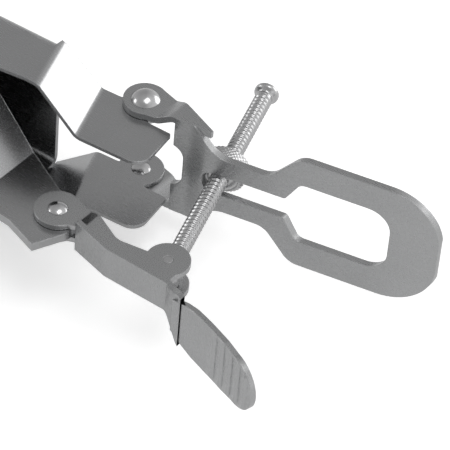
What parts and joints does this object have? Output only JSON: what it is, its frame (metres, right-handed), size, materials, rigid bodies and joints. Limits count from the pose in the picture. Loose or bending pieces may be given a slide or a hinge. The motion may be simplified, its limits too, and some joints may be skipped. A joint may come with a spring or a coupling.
{
  "type": "bivalve speculum",
  "caption": "Sheet-metal bivalve speculum: two hinged trough blades, a yoked loop handle, a thumb lever and an opening screw with a fluted nut.",
  "frame": {"origin": "middle of the bottom of the bounding box, as the instrument lies on its side", "axes": "+X along the closed blades towards the handles, +Y from the lower blade to the upper, +Z along every pivot"},
  "size_m": [0.2046, 0.074, 0.0384],
  "materials": {
    "blade_steel": "satin brushed stainless sheet",
    "handle_steel": "satin stainless sheet with polished bends",
    "lever_steel": "satin stainless sheet with worn ridges",
    "rivet_steel": "bright domed rivet steel",
    "screw_steel": "rolled thread, bright crests",
    "nut_steel": "bright fluted nut"
  },
  "bodies": {
    "upper": {"upper_blade": "blade_steel", "hinge_rivet_left": "rivet_steel", "hinge_rivet_right": "rivet_steel", "handle_loop": "handle_steel", "handle_rivet_left": "rivet_steel", "handle_rivet_right": "rivet_steel"},
    "lower": {"lower_blade": "blade_steel", "thumb_lever": "lever_steel", "lever_rivet": "rivet_steel", "swivel_pin": "screw_steel"},
    "screw": {"opening_screw": "screw_steel"},
    "nut": {"thumb_nut": "nut_steel"}
  },
  "joints": [
    {"name": "blade_open", "type": "hinge", "parent": "upper", "child": "lower", "pos_m": [-0.02225, -0.01228, 0.0192], "axis": [0, 0, 1], "range_deg": [-14, 11]},
    {"name": "screw_swivel", "type": "hinge", "parent": "lower", "child": "screw", "pos_m": [0.06435, -0.01928, 0.0192], "axis": [0, 0, 1], "range_deg": [-2, 2]},
    {"name": "nut_travel", "type": "slide", "parent": "screw", "child": "nut", "axis": [-0.3173, 0.9483, 0], "range_m": [-0.0158, 0.02]}
  ],
  "couplings": [
    {"joint": "screw_swivel", "follows": "blade_open", "ratio": 0.1},
    {"joint": "nut_travel", "follows": "blade_open", "m_per_rad": -0.0812}
  ]
}
